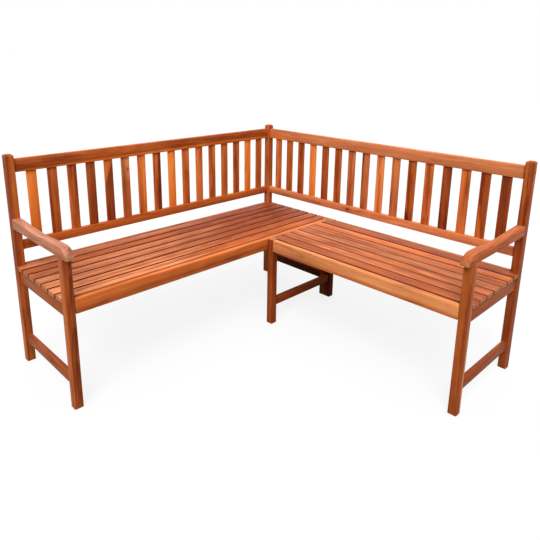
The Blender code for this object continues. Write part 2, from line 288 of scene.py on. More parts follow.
print("edges are rubbed over", EDGE_BAND * 1000, "mm")

# %% [markdown]
# The colour of an oiled board comes from three tones of one plank: dark latewood and mineral
# streaks, the heartwood between them, and light fibres. A level, summed from the noises, picks
# among them. Many boards were sawn where two kinds of wood meet, such as sapwood and heartwood,
# and that seam wanders along the board. It is told by a straight line, which the streaks then
# fray.

# %% The colour of a board's sides
STEPS = (0.42, 0.66, 0.90)  # the levels at which a plank is dark, in between and light
LEVEL_WEIGHTS = {"streaks": 0.85, "clouds": 0.50, "lines": 0.35, "fibres": 0.16, "rings": -0.12}
LEVEL_MIDDLE = 0.89  # what those add up to on average
SEAM_FRAY = 0.024  # how far the streaks push a seam aside, in metres


def grain_level(tree, figure):
    """From about 0.4 in a dark streak to 0.9 in a light one."""
    level = weighted_sum(tree, 0.0, figure, LEVEL_WEIGHTS)
    off_middle = calculate(tree, "SUBTRACT", level, LEVEL_MIDDLE)
    return calculate(tree, "MULTIPLY_ADD", off_middle, figure["contrast"], STEPS[1])


def three_tones(tree, level, dark, heart, light):
    """Dark, heart or light wood, or a mix of two of them, by the level."""
    tone = mix_colour(tree, soft_step(tree, level, *STEPS[:2]), dark, heart)
    return mix_colour(tree, soft_step(tree, level, *STEPS[1:]), tone, light)


def past_seam(tree, given, figure):
    """1 past the seam, which is a slant along the board, a share across it and an offset."""
    seam = parts_of(tree, given["Seam"])
    point = parts_of(tree, given["Point"])
    line = calculate(tree, "MULTIPLY", point["Y"], seam["Y"])
    line = calculate(tree, "MULTIPLY_ADD", point["X"], seam["X"], line)
    line = calculate(tree, "SUBTRACT", line, seam["Z"])
    fray = calculate(tree, "SUBTRACT", figure["streaks"], NOISE_MIDDLE)
    line = calculate(tree, "ADD", line, calculate(tree, "MULTIPLY", fray, SEAM_FRAY))
    back = calculate(tree, "MULTIPLY", given["Softness"], -1.0)
    return soft_step(tree, line, back, given["Softness"])


print("levels:", STEPS)

# %% [markdown]
# Then the small things are laid over that colour one by one: the halo of a knot, pores, the eye
# of the knot, edges lightened by wear and a painted highlight, and painted shade in the gaps.
# Each is a mix with a share below one, so that the plank still shows through.

# %% Marks on the sides
HALO_SHARE = 0.45
PORE_SHARE = 0.30
EYE_SHARE = 0.85
EYE_TONE = colour(58, 24, 10)
# The colour of the painted shade on the seat slats' sides in the gaps between them.
GAP_SHADE = colour(86, 21, 8)
COLOURS = ("Dark", "Heart", "Light", "Other Dark", "Other Heart", "Other Light")


def side_colour(tree, given, figure):
    """The wood on each side of the seam, with the marks laid over it."""
    level = grain_level(tree, figure)
    tone = three_tones(tree, level, *(given[name] for name in COLOURS[:3]))
    other = three_tones(tree, level, *(given[name] for name in COLOURS[3:]))
    tone = mix_colour(tree, past_seam(tree, given, figure), tone, other)
    marks = (
        ("halo", HALO_SHARE, given["Dark"]),
        ("pores", PORE_SHARE, given["Dark"]),
        ("knot", EYE_SHARE, EYE_TONE),
        # Long edges: part wear, part painted highlight, mixed towards the light tone.
        ("worn_and_highlit", given["Wear And Highlight"], given["Light"]),
    )
    for name, most, mark in marks:
        tone = mix_colour(tree, calculate(tree, "MULTIPLY", figure[name], most), tone, mark)
    # Painted shade on the sides of seat slats, in the gaps between them.
    return mix_colour(tree, figure["dirt"], tone, GAP_SHADE)


print("the eye of a knot is", [round(v, 3) for v in EYE_TONE[:3]])

# %% [markdown]
# The patterns of a board are noises that differ in how far they are drawn out: broad clouds,
# streaks as wide as a finger, fine lines, fibres and the short dark pores. The grain of a real
# board is never dead straight. So a slow noise first shifts the point at which the others are
# read, and all of them wave together.

# %% Patterns of a board
PATTERNS = {  # blots per metre along, across and through the board, and levels of detail
    "streaks": ((1.3, 46.0, 46.0), 3.0),
    "clouds": ((4.5, 12.0, 12.0), 2.0),
    "lines": ((5.0, 130.0, 130.0), 2.0),
    "fibres": ((9.0, 420.0, 420.0), 2.0),
    "pores": ((38.0, 950.0, 950.0), 1.0),
}
PORE_RIM = (0.60, 0.72)  # wood below the first, a pore above the second
BENDS = (3.6, 7.0, 7.0)
BEND_REACH = 0.014  # how far the grain strays from a straight line


def board_figure(tree, given):
    """Every pattern of the board, as a number from 0 to 1, and the settings that go with it."""
    point = given["Point"]
    noise_point = calculate_vector(tree, "ADD", point, given["Plank"])
    bend = stray(tree, noise_point, BENDS, BEND_REACH)
    noise_point = calculate_vector(tree, "ADD", noise_point, bend)
    figure = {"contrast": given["Contrast"], "dry": given["Dryness"]}
    for name, (stretch, detail) in PATTERNS.items():
        figure[name] = stretched_noise(tree, noise_point, stretch, detail)["Fac"]
    figure["pores"] = soft_step(tree, figure["pores"], *PORE_RIM)
    figure["knot"], figure["halo"] = knot_masks(tree, point, given["Knot"])
    push = calculate(tree, "MULTIPLY", figure["halo"], KNOT_PUSH)
    figure["rings"] = ring_shade(tree, point, noise_point, given["Pith"], given["Lean"], push)
    # Lightened long edges, part wear and part painted highlight.
    figure["worn_and_highlit"] = edge_mask(tree, point, given["Half Size"])
    figure["sawn"], gap_side = facing_masks(tree, given["Facing"])
    # Painted shade on the slat sides that face the gaps.
    figure["dirt"] = calculate(tree, "MULTIPLY", gap_side, given["Gap Shade"])
    return figure


print("noises:", ", ".join(PATTERNS))

# %% [markdown]
# One node group holds the whole recipe, so that over seventy boards share it and each only states
# its own tones, its place in the log, its seam and its knot. Separate node trees would look the
# same, but a change to the grain would then have to be made seventy times. The fibres, the dry
# places and the slat sides in the gaps, with their painted shade, are rougher than the rest, and
# the pores lie a little lower.

# %% The shared recipe
END_LIGHT = colour(206, 144, 100)
END_DARK = colour(146, 86, 53)
END_SHARE = 0.35  # of a freshly oiled end, and more the drier a board is
OILED_ROUGHNESS = 0.42
ROUGHER = {"fibres": 0.2, "sawn": 0.25, "worn_and_highlit": -0.06, "dry": 0.15, "dirt": 0.4}
FLAT_HEIGHT = 0.5
HIGHER = {"fibres": 0.5, "rings": -0.25, "pores": -0.6, "knot": -0.4}
VECTORS = ("Point", "Plank", "Facing", "Half Size", "Pith", "Lean", "Knot", "Seam")
NUMBERS = ("Softness", "Contrast", "Wear And Highlight", "Gap Shade", "Dryness")
RESULTS = {"Colour": "Color", "Roughness": "Float", "Height": "Float"}


def build_hardwood():
    """The node group that all boards share."""
    tree = bpy.data.node_groups.new("Oiled hardwood", "ShaderNodeTree")
    for kind, names in (("Vector", VECTORS), ("Color", COLOURS), ("Float", NUMBERS)):
        for name in names:
            tree.interface.new_socket(name, in_out="INPUT", socket_type="NodeSocket" + kind)
    for name, kind in RESULTS.items():
        tree.interface.new_socket(name, in_out="OUTPUT", socket_type="NodeSocket" + kind)
    given = tree.nodes.new("NodeGroupInput").outputs
    figure = board_figure(tree, given)
    end = mix_colour(tree, figure["rings"], END_LIGHT, END_DARK)
    sides = side_colour(tree, given, figure)
    dull = calculate(tree, "ADD", figure["dry"], END_SHARE)
    shade = mix_colour(tree, calculate(tree, "MULTIPLY", figure["sawn"], dull), sides, end)
    rough = weighted_sum(tree, OILED_ROUGHNESS, figure, ROUGHER)
    height = weighted_sum(tree, FLAT_HEIGHT, figure, HIGHER)
    add_node(tree, "NodeGroupOutput", {"Colour": shade, "Roughness": rough, "Height": height})
    return tree


hardwood = build_hardwood()
print("nodes in the shared recipe:", len(hardwood.nodes))

# %% [markdown]
# A tone is what the heartwood of a plank looks like once oiled, between its streaks. The range
# within one bench is wide: amber from near the bark, rust and chestnut from deep in the log, and
# sand or rose where sun and use have dried the oil. The dark streaks of a plank are redder than
# its heart and the light ones less red, so both are worked out from it.

# %% Tones of the planks
TONES = {
    "amber": colour(236, 127, 50),
    "honey": colour(217, 115, 53),
    "ginger": colour(202, 104, 46),
    "rust": colour(184, 92, 38),
    "russet": colour(164, 78, 31),
    "chestnut": colour(144, 64, 26),
    "umber": colour(100, 42, 17),
    "straw": colour(227, 142, 86),
    "tan": colour(210, 125, 77),
    "copper": colour(188, 100, 52),
    "clay": colour(177, 99, 57),
    "sand": colour(184, 106, 66),
    "rose": colour(184, 117, 85),
}
DARKEN = (0.52, 0.42, 0.40, 1.0)  # what is left of the red, green and blue in a dark streak
LIGHTEN = (1.32, 1.55, 1.85, 1.0)  # and how much more there is in a light one


def plank_tones(tone):
    """The dark streaks, the heart and the light streaks of a plank."""
    heart = TONES[tone]
    dark = tuple(value * share for value, share in zip(heart, DARKEN))
    light = tuple(min(value * share, 1.0) for value, share in zip(heart, LIGHTEN))
    return dark, heart, light


print("tones:", ", ".join(TONES))

# %% [markdown]
# No two boards come from the same place in the log. Each gets its own piece of the endless noise
# and its own pith, near or far and leaning a little. The draws are random but always the same,
# because they come from one generator with a fixed seed.

# %% A place in the log
PLANK_REACH = 9.0  # the noise is cut up to this far from its middle, in metres
PITH_AWAY = (0.03, 0.16)  # from the middle of the board
PITH_LEAN = 0.02  # the most it drifts aside per metre of the board

chance = random.Random(11)


def place_in_log():
    """A random plank: where the noise is cut, where the pith lies and how it leans."""
    around = chance.uniform(0, math.tau)
    away = chance.uniform(*PITH_AWAY)
    shift = tuple(chance.uniform(-PLANK_REACH, PLANK_REACH) for _ in range(3))
    lean = tuple(chance.uniform(-PITH_LEAN, PITH_LEAN) for _ in range(2))
    pith = (0.0, away * math.cos(around), away * math.sin(around))
    return {"Plank": shift, "Pith": pith, "Lean": (0.0, *lean)}


print("the pith lies", PITH_AWAY[0] * 1000, "to", PITH_AWAY[1] * 1000, "mm from a board's middle")

# %% [markdown]
# The material of one board reads the place of each point from the board's own middle, with its
# parts sorted: first along the grain, then across the widest face, then through the board.
# Texture coordinates from an unwrapped mesh would have to be laid out for every face, and these
# agree at every edge by themselves.

# %% The material of one board
NO_SEAM = (0.0, 0.0, 1.0)  # an offset that lies far outside any board
NO_KNOT = (0.0, 0.0, 0.0)
GRAIN_HEIGHT = 0.0003
GRAIN_STRENGTH = 0.6
SHEEN = 0.12  # an oiled board shines far less than a varnished one
SIZE_DIGITS = 4  # sides that agree to a tenth of a millimetre count as equal


def in_board_order(tree, vector, order):
    """The vector's parts sorted: along the grain, across the face, through the board."""
    parts = parts_of(tree, vector)
    inputs = {number: parts[axis] for number, axis in enumerate(order)}
    return add_node(tree, "ShaderNodeCombineXYZ", inputs).outputs[0]


def finish_shader(tree, shade, rough, height, strength, distance):
    """Fills the shader. The height, from 0 to 1, becomes bumps up to the distance high."""
    relief = {"Height": height, "Strength": strength, "Distance": distance}
    normal = add_node(tree, "ShaderNodeBump", relief).outputs["Normal"]
    shader = tree.nodes["Principled BSDF"]
    for name, value in (("Base Color", shade), ("Roughness", rough), ("Normal", normal)):
        fill(tree, shader.inputs[name], value)
    return shader


def oiled_wood(
    name,
    box,
    tone,
    other="amber",
    seam=NO_SEAM,
    softness=0.004,
    knot=NO_KNOT,
    contrast=1.25,
    # Edge lightening is part wear and part painted highlight; gap darkening is painted shade.
    wear=0.35,
    dirt=0.0,
    dryness=0.0,
    sheen=SHEEN,
):
    """The material of one board. The grain runs along the longest side of its box."""
    material = bpy.data.materials.new(name)
    material.use_nodes = True
    tree = material.node_tree
    middle, size = (box[0] + box[1]) / 2, box[1] - box[0]
    order = sorted(range(3), key=lambda axis: -round(size[axis], SIZE_DIGITS))
    coordinates = add_node(tree, "ShaderNodeTexCoord").outputs
    centred = calculate_vector(tree, "SUBTRACT", coordinates["Object"], tuple(middle))
    given = {
        "Point": in_board_order(tree, centred, order),
        "Facing": in_board_order(tree, coordinates["Normal"], order),
        "Half Size": tuple(size[axis] / 2 for axis in order),
        "Knot": knot,
        "Seam": seam,
        "Softness": softness,
        "Contrast": contrast,
        "Wear And Highlight": wear,
        "Gap Shade": dirt,
        "Dryness": dryness,
    }
    given |= place_in_log()
    given |= dict(zip(COLOURS, plank_tones(tone) + plank_tones(other)))
    wood = add_node(tree, "ShaderNodeGroup", node_tree=hardwood)
    for key, value in given.items():
        fill(tree, wood.inputs[key], value)
    shade, rough, height = wood.outputs
    shader = finish_shader(tree, shade, rough, height, GRAIN_STRENGTH, GRAIN_HEIGHT)
    shader.inputs["Specular IOR Level"].default_value = sheen
    return material


print("the grain stands", GRAIN_HEIGHT * 1000, "mm high")

# %% [markdown]
# The frame's boards come in as loose triangles with hard shading. Their shape is right, so they
# stay, and a small geometry node setup welds them and shades their rounded edges smoothly. A
# bevel modifier would do that too, but it would round the edges a second time.

# %% Smooth shading on the frame's boards
SHARPEST = math.radians(40)  # a fold sharper than this stays a crease
WELD = 0.00002  # corners closer than this become one


def build_welding():
    """Welds the triangles, drops the stored normals and smooths all but the sharp folds."""
    tree = bpy.data.node_groups.new("Welded and smooth", "GeometryNodeTree")
    for way in ("INPUT", "OUTPUT"):
        tree.interface.new_socket("Geometry", in_out=way, socket_type="NodeSocketGeometry")
    fold = add_node(tree, "GeometryNodeInputMeshEdgeAngle").outputs["Unsigned Angle"]
    gentle = {0: fold, 1: SHARPEST}
    gentle = add_node(tree, "FunctionNodeCompare", gentle, operation="LESS_THAN").outputs[0]
    steps = (
        ("GeometryNodeRemoveAttribute", {"Name": "custom_normal"}, {}),
        ("GeometryNodeMergeByDistance", {"Distance": WELD}, {}),
        ("GeometryNodeSetShadeSmooth", {"Shade Smooth": True}, {}),
        ("GeometryNodeSetShadeSmooth", {"Shade Smooth": gentle}, {"domain": "EDGE"}),
    )
    shape = tree.nodes.new("NodeGroupInput").outputs[0]
    for kind, inputs, settings in steps:
        shape = add_node(tree, kind, inputs | {"Geometry": shape}, **settings).outputs[0]
    add_node(tree, "NodeGroupOutput", {0: shape})
    return tree


welding = build_welding()
print("welding nodes:", len(welding.nodes))

# %% [markdown]
# Each board is now listed with its tone and what sets it apart: a second tone beyond a seam, a
# knot, more contrast between its streaks, or how dry it is. The uprights come first: three tall
# posts, two legs under the armrests and three short legs at the inner ends. All are 35 mm square
# and of dull red-brown heartwood. The boards low inside the frame stand in shade, are given dark
# tones and hardly shine.

# %% Posts and legs
SHADED = {"sheen": 0.04, "dryness": 0.5}


def plank(tone, **details):
    """What oiled_wood needs to know of one board."""
    return {"tone": tone, **details}


def finish_boards(planks):
    """Gives each named board of the frame its own wood and smooth edges."""
    for name, wood in planks.items():
        board = nodes[name]
        board.modifiers.new("welded", "NODES").node_group = welding
        board.data.materials.clear()
        board.data.materials.append(oiled_wood(name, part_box(name), **wood))
    print("boards finished:", len(planks))


POSTS = {
    "corner_post": plank("russet", other="rust", seam=(0.0, -1.0, 0.012)),
    "left_rear_post": plank("rust", other="chestnut", seam=(0.03, -1.0, 0.016)),
    "left_front_leg": plank("russet", other="rust", seam=(-0.01, -1.0, 0.013), contrast=1.4),
    "left_inner_leg": plank("chestnut", **SHADED),
    "right_rear_post": plank(
        "chestnut", other="rust", seam=(1.0, 0.0, 0.27), softness=0.12, contrast=1.8
    ),
    "right_front_leg": plank("rust", other="tan", seam=(0.0, 1.0, 0.004), softness=0.006),
    "right_inner_front_leg": plank("chestnut", contrast=1.6, sheen=0.04, dryness=0.4),
    "right_inner_rear_leg": plank("umber", **SHADED),
}
finish_boards(POSTS)

# %% [markdown]
# The rails and aprons show the most wood to the eye. The left top rail has a lighter band along
# its lower edge, a painted light where that edge turns down towards the floor, and the right one
# has it only by the corner, and the right end rail has one too. The right wing's long boards are
# paler than the left's, and its lower rail has a knot.

# %% Rails and aprons
RAILS = {
    # Its amber band along the lower edge is painted light.
    "left_top_rail": plank("rust", other="amber", seam=(0.0049, -1.0, 0.013), softness=0.002),
    "left_lower_rail": plank("rust", contrast=0.8),
    "left_front_apron": plank(
        "ginger", other="honey", seam=(0.0, 1.0, 0.027), softness=0.001, contrast=0.9
    ),
    "left_rear_apron": plank("clay"),
    "left_end_rail": plank("russet", contrast=1.4),
    # Its amber band along the lower edge, by the corner, is painted light.
    "right_top_rail": plank("tan", other="amber", seam=(0.107, -1.0, 0.075), contrast=0.8),
    "right_lower_rail": plank("tan", knot=(0.132, 0.0, 0.006), contrast=0.8),
    "right_front_apron": plank(
        "straw", other="honey", seam=(0.0, -1.0, 0.014), softness=0.012, contrast=0.8
    ),
    "right_rear_apron": plank("clay"),
    # Its honey band along the lower edge is painted light.
    "right_end_rail": plank("russet", other="honey", seam=(0.0, -1.0, 0.018)),
}
finish_boards(RAILS)

# %% [markdown]
# The stretchers join the front and rear legs near the floor. Those at the inner ends, and the
# seat rails above them, are in deep shade and from the darkest planks.

# %% Stretchers and inner seat rails
STRETCHERS = {
    "left_end_stretcher": plank("russet", contrast=1.5),
    "right_end_stretcher": plank("chestnut", contrast=1.5),
    "left_inner_rail": plank("umber", **SHADED),
    "left_inner_stretcher": plank("umber", **SHADED),
    "right_inner_rail": plank("umber", **SHADED),
    "right_inner_stretcher": plank("chestnut", **SHADED),
}
finish_boards(STRETCHERS)

# %% [markdown]
# The armrests are dry and well rubbed, because hands and weather take the oil off them first.
# Their edges get more of the lightening that is part wear and part painted highlight.
# Their noses fall in a curve that cuts across the grain, so the end grain comes in by itself as
# the curve turns.

# %% Armrests
ARMRESTS = {
    "left_armrest": plank("rose", dryness=0.25, wear=0.5, sheen=0.25),
    "right_armrest": plank("copper", dryness=0.1, wear=0.5, contrast=1.15),
}
finish_boards(ARMRESTS)

# %% [markdown]
# Sixteen slats fill each back. They are offcuts of many planks, so neighbours differ a lot. A
# random choice of tones would do on a long fence, but a bench is seen slat by slat, so each one
# here has its own plank, and some were sawn where light and dark wood meet. Slat 6 has a small
# knot. The numbers run from the free end of the wing to the corner.

# %% Back slats of the left wing
def finish_back(side, planks):
    """The planks come in the order of the slats' numbers."""
    finish_boards({f"{side}_back_slat_{n:02d}": wood for n, wood in enumerate(planks, 1)})


LEFT_BACK = [
    plank("amber", contrast=0.8),
    plank("rust", other="chestnut", seam=(0.0, -1.0, 0.012)),
    plank("rust", other="honey", seam=(0.0, -1.0, 0.008), contrast=1.6),
    plank("russet"),
    plank("chestnut", other="honey", seam=(0.35, -1.0, 0.03), softness=0.006, contrast=1.3),
    plank(
        "copper", other="straw", seam=(0.4, -0.3, 0.02), softness=0.012, knot=(0.085, 0.01, 0.003)
    ),
    plank("honey", other="amber", seam=(0.0, 1.0, 0.008)),
    plank("chestnut", other="ginger", seam=(0.03, -1.0, -0.002), contrast=1.4),
    plank("amber", contrast=1.0),
    plank("ginger"),
    plank("ginger", contrast=1.7),
    plank("honey", contrast=1.4),
    plank("rust", contrast=1.6),
    plank("rust", other="ginger", seam=(0.0, 1.0, 0.006)),
    plank("amber"),
    plank("rust"),
]
finish_back("left", LEFT_BACK)

# %% [markdown]
# The right back has two very light slats, 8 and 13, and two very dark ones, 1 and 4. On 6 a wedge
# of dark heartwood comes up from the foot, and on 2 a strip of sapwood runs down one edge.

# %% Back slats of the right wing
RIGHT_BACK = [
    plank("chestnut"),
    plank("russet", other="amber", seam=(-0.08, 1.0, 0.010)),
    plank("ginger", contrast=1.4),
    plank("chestnut", contrast=1.9),
    plank("honey", contrast=1.6),
    plank("rust", other="umber", seam=(-0.3, 0.6, 0.036), softness=0.005, contrast=1.6),
    plank("copper", contrast=1.7),
    plank("honey", other="straw", seam=(0.06, 1.0, 0.002), contrast=1.6),
    plank("copper", other="umber", seam=(0.05, 1.0, 0.014), contrast=1.8),
    plank("copper"),
    plank("rust", contrast=1.5),
    plank("russet", contrast=1.4),
    plank("amber", other="straw", seam=(0.0, 1.0, 0.004)),
    plank("russet", contrast=1.5),
    plank("rust"),
    plank("rust", other="honey", seam=(0.0, 1.0, 0.002)),
]
finish_back("right", RIGHT_BACK)

# %% [markdown]
# Each seat is seven slats on one bearer. The frame holds them as one solid, and here they become
# separate boards, so that each has its own plank, its own rounded edges and a sawn end that
# shows. The helpers read where the frame's boards end and turn places along and across a wing
# into the bench's own, so that one function can build both wings.

# %% Helpers for new boards
def in_left_wing(along, across, up):
    """A place in the left wing, which runs along X."""
    return Vector((along, across, up))


def in_right_wing(along, across, up):
    """A place in the right wing, which runs along Y."""
    return Vector((across, along, up))


LEFT_WING = ("left", in_left_wing, 0, 1)  # its name, its places, the axes along and across it
RIGHT_WING = ("right", in_right_wing, 1, 0)


def span(node, axis):
    """Where a board of the frame begins and ends along an axis."""
    low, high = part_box(node)
    return low[axis], high[axis]


def between_aprons(side, cross):
    """The inner faces of a wing's two aprons."""
    return span(f"{side}_front_apron", cross)[1], span(f"{side}_rear_apron", cross)[0]


def mesh_box(bm):
    """The lowest and highest corners of a mesh that is being built."""
    low = Vector([min(v.co[i] for v in bm.verts) for i in range(3)])
    high = Vector([max(v.co[i] for v in bm.verts) for i in range(3)])
    return low, high


def mesh_piece(name, bm, place, material=None, **wood):
    """Turns a bmesh in a wing's terms into a piece of the bench."""
    for vert in bm.verts:
        vert.co = place(*vert.co)
    bmesh.ops.recalc_face_normals(bm, faces=bm.faces)
    material = material or oiled_wood(name, mesh_box(bm), **wood)
    mesh = bpy.data.meshes.new(name)
    bm.to_mesh(mesh)
    bm.free()
    mesh.materials.append(material)
    mesh.shade_smooth()
    mesh.set_sharp_from_angle(angle=SHARPEST)
    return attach(put_in_scene(name, mesh), "root")


print("the left seat runs between", [round(v, 3) for v in span("left_seat_panel", 0)])

# %% [markdown]
# The outer slats are notched round the legs. A slat could be a box with a bevel modifier, but the
# notches would then be bevelled too. So the outline is drawn in plan with its notches, raised to
# the slat's thickness, and only its long rims are rounded.

# %% One seat slat
SLAT_THICK = 0.016
SLAT_EDGE = 0.002
EDGE_STEPS = 4
ROUND = 0.5  # a bevel's profile
SAME_PLACE = 1e-6  # corners that differ by less are level with each other


def slat_outline(along, across, notches):
    """The slat in plan, corner by corner. A notch is the box of a leg."""
    corners = []
    for start, side in ((0, 0), (1, 0), (1, 1), (0, 1)):
        end, edge = along[start], across[side]
        cut = [n for n in notches if n[0][0] < end < n[0][1] and n[1][0] < edge < n[1][1]]
        if not cut:
            corners.append((end, edge))
            continue
        past = cut[0][0][1 - start]
        into = cut[0][1][1 - side]
        stepped = [(end, into), (past, into), (past, edge)]
        corners += stepped if start == side else reversed(stepped)
    return corners


def is_long_rim(edge, across):
    """True on the four long edges, which lie level and on a side of the slat."""
    one, other = (vert.co for vert in edge.verts)
    level = abs(one.z - other.z) < SAME_PLACE and abs(one.y - other.y) < SAME_PLACE
    return level and min(abs(one.y - side) for side in across) < SAME_PLACE


def seat_slat(name, place, along, across, notches, top, wood):
    """One slat: its outline, raised to its thickness, with its long rims rounded."""
    bm = bmesh.new()
    outline = slat_outline(along, across, notches)
    face = bm.faces.new([bm.verts.new((x, y, top - SLAT_THICK)) for x, y in outline])
    raised = bmesh.ops.extrude_face_region(bm, geom=[face])["geom"]
    raised = [v for v in raised if isinstance(v, bmesh.types.BMVert)]
    bmesh.ops.translate(bm, vec=(0, 0, SLAT_THICK), verts=raised)
    rims = [e for e in bm.edges if is_long_rim(e, across)]
    rounding = {"offset": SLAT_EDGE, "segments": EDGE_STEPS, "affect": "EDGES", "profile": ROUND}
    bmesh.ops.bevel(bm, geom=rims, **rounding)
    return mesh_piece(name, bm, place, **wood)


print("a seat slat is", SLAT_THICK * 1000, "mm thick")

# %% [markdown]
# Slat 1 lies at the front of each seat and slat 7 at its back. The left wing's slats grow darker
# towards the corner, a painted shade drawn as a seam very soft across them. The gap shade is
# how dark a slat's sides are painted in the gaps: the right wing's are the lighter ones, and the
# left wing's first slat is the lightest. What a plank doesn't say of itself comes
# from WELL_USED.

# %% Planks of the seat slats
# Edge lightening here is part wear and part painted highlight; the gap darkening is painted
# shade.
WELL_USED = {"contrast": 1.4, "wear": 0.6, "dirt": 0.95, "dryness": 0.4}
# Seams to a darker plank towards the corner paint shade there.
LEFT_SEAT = [
    plank("tan", other="rust", seam=(1.0, 0.0, -0.14), softness=0.15, dirt=0.3),
    plank("tan", other="russet", seam=(1.0, 0.0, -0.05), softness=0.25),
    plank("sand", other="chestnut", seam=(1.0, 0.0, -0.03), softness=0.35),
    plank("sand", other="chestnut", seam=(1.0, 0.0, 0.05), softness=0.30),
    plank("sand", other="chestnut", seam=(1.0, 0.0, 0.1), softness=0.40),
    plank("russet", other="chestnut", seam=(1.0, 0.0, 0.1), softness=0.45),
    plank("clay", other="chestnut", seam=(1.0, 0.0, 0.1), softness=0.35),
]
RIGHT_SEAT = [
    plank("russet", dirt=0.7),
    plank("copper", dirt=0.6),
    plank("copper", dirt=0.6),
    plank("clay", dirt=0.6),
    plank("copper", dirt=0.6),
    plank("ginger", dirt=0.6),
    plank("russet", sheen=0.2),
]
print("planks of the seats:", len(LEFT_SEAT) + len(RIGHT_SEAT))

# %% [markdown]
# The slats run from the outside of one end frame to the outside of the other and lie evenly
# between the two aprons. Those places are read from the frame, so that they agree with it. Each
# end is sawn by hand, so the ends don't line up to the hair. Sitting polishes the slats, and the
# right wing's more than the left's.

# %% Two seats
SLAT_WIDTH = 0.0525
NOTCH_GAP = 0.001  # all round a leg
SAWING = 0.0016  # how far a slat's end may fall short of its neighbours


def seat(side, place, run, cross, planks, sheen):
    """Seven slats, in place of the frame's seat panel. run and cross are the wing's axes."""
    panel = f"{side}_seat_panel"
    start, end = span(panel, run)
    top = span(panel, 2)[1]
    front, rear = between_aprons(side, cross)
    gap = (rear - front - len(planks) * SLAT_WIDTH) / (len(planks) + 1)
    notches = []
    for leg in POSTS:
        boxes = [span(leg, axis) for axis in (run, cross)]
        notches.append([(low - NOTCH_GAP, high + NOTCH_GAP) for low, high in boxes])
    made = []
    for number, wood in enumerate(planks, 1):
        near = front + gap + (number - 1) * (SLAT_WIDTH + gap)
        across = (near, near + SLAT_WIDTH)
        along = (start + chance.uniform(0, SAWING), end - chance.uniform(0, SAWING))
        wood = WELL_USED | {"sheen": sheen} | wood
        name = f"{side}_seat_slat_{number}"
        made.append(seat_slat(name, place, along, across, notches, top, wood))
    return made


left_slats = seat(*LEFT_WING, LEFT_SEAT, sheen=0.1)
right_slats = seat(*RIGHT_WING, RIGHT_SEAT, sheen=0.3)
print("seat slats:", len(left_slats) + len(right_slats))

# %% [markdown]
# A bearer crosses under the middle of each seat, and the slats are screwed down to it from below.
# It is a rough board with a small chamfer, and stops a hair short of the aprons and of the slats,
# as a board does that is offered up and then screwed.

# %% Bearers under the seats
BEARER_WIDTH = 0.030
BEARER_DEPTH = 0.030
BEARER_CHAMFER = 0.002
HAIR = 0.0003


def bearer(side, place, run, cross):
    """A board under the middle of a seat, from apron to apron."""
    start, end = span(f"{side}_seat_panel", run)
    front, rear = between_aprons(side, cross)
    underside = span(f"{side}_seat_panel", 2)[1] - SLAT_THICK
    size = (BEARER_WIDTH, rear - front - 2 * HAIR, BEARER_DEPTH - HAIR)
    middle = ((start + end) / 2, (front + rear) / 2, underside - HAIR - size[2] / 2)
    bm = bmesh.new()
    made = bmesh.ops.create_cube(bm, size=1.0)["verts"]
    bmesh.ops.scale(bm, vec=size, verts=made)
    bmesh.ops.translate(bm, vec=middle, verts=made)
    long_edges = [e for e in bm.edges if e.calc_length() > 2 * BEARER_WIDTH]
    bmesh.ops.bevel(bm, geom=long_edges, offset=BEARER_CHAMFER, segments=1, affect="EDGES")
    piece = mesh_piece(f"{side}_bearer", bm, place, tone="chestnut", contrast=1.4, **SHADED)
    return piece


bearers = [bearer(*LEFT_WING), bearer(*RIGHT_WING)]
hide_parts("left_seat_panel")
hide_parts("right_seat_panel")
print("bearers:", len(bearers))

# %% [markdown]
# A bolt holds each top rail to the post at its free end. Its head lies deep in a bore, so that
# nobody catches a sleeve on it, and is a low steel dome with a socket for a hexagonal key. Such a
# head could be cut with a Boolean, but a lathe-like stack of rings gives it cleanly: each ring
# has a radius and a height, and those of the socket have a hexagon's radius.

# %% Shape of a bolt
BOLT_SIDES = 36
HEAD_RADIUS = 0.00525
HEAD_HEIGHT = 0.0033
SOCKET_RADIUS = 0.0020  # from the middle to a flat
SHANK_RADIUS = 0.0030
SHANK_LENGTH = 0.058
SHANK_TIP = 0.0006  # the part of it that tapers
BOLT_RINGS = [  # radius, height over the seat of the head, and whether the ring is a hexagon
    (SHANK_RADIUS * 0.8, -SHANK_LENGTH, False),
    (SHANK_RADIUS, -SHANK_LENGTH + SHANK_TIP, False),
    (SHANK_RADIUS, 0.0, False),
    (HEAD_RADIUS, 0.0, False),
    (HEAD_RADIUS, HEAD_HEIGHT * 0.35, False),
    (HEAD_RADIUS * 0.9, HEAD_HEIGHT * 0.70, False),
    (HEAD_RADIUS * 0.72, HEAD_HEIGHT * 0.93, False),
    (HEAD_RADIUS * 0.58, HEAD_HEIGHT, False),
    (SOCKET_RADIUS, HEAD_HEIGHT, True),
    (SOCKET_RADIUS, HEAD_HEIGHT * 0.35, True),
]


def ring_radius(radius, angle, hexagon):
    """A circle's radius, or a hexagon's at that angle."""
    if not hexagon:
        return radius
    from_flat = math.fmod(angle, math.radians(60)) - math.radians(30)
    return radius / math.cos(from_flat)


def bolt_shape(seat_of_head, middle, up):
    """The bolt in a wing's terms, with its dome outwards along the wing."""
    bm = bmesh.new()
    rings = []
    for radius, height, hexagon in BOLT_RINGS:
        ring = []
        for step in range(BOLT_SIDES):
            angle = math.tau * step / BOLT_SIDES
            reach = ring_radius(radius, angle, hexagon)
            across, above = reach * math.cos(angle), reach * math.sin(angle)
            ring.append(bm.verts.new((seat_of_head - height, middle + across, up + above)))
        rings.append(ring)
    for low, high in zip(rings, rings[1:]):
        for step in range(BOLT_SIDES):
            after = (step + 1) % BOLT_SIDES
            bm.faces.new((low[step], low[after], high[after], high[step]))
    bm.faces.new(rings[0])
    bm.faces.new(rings[-1])
    return bm


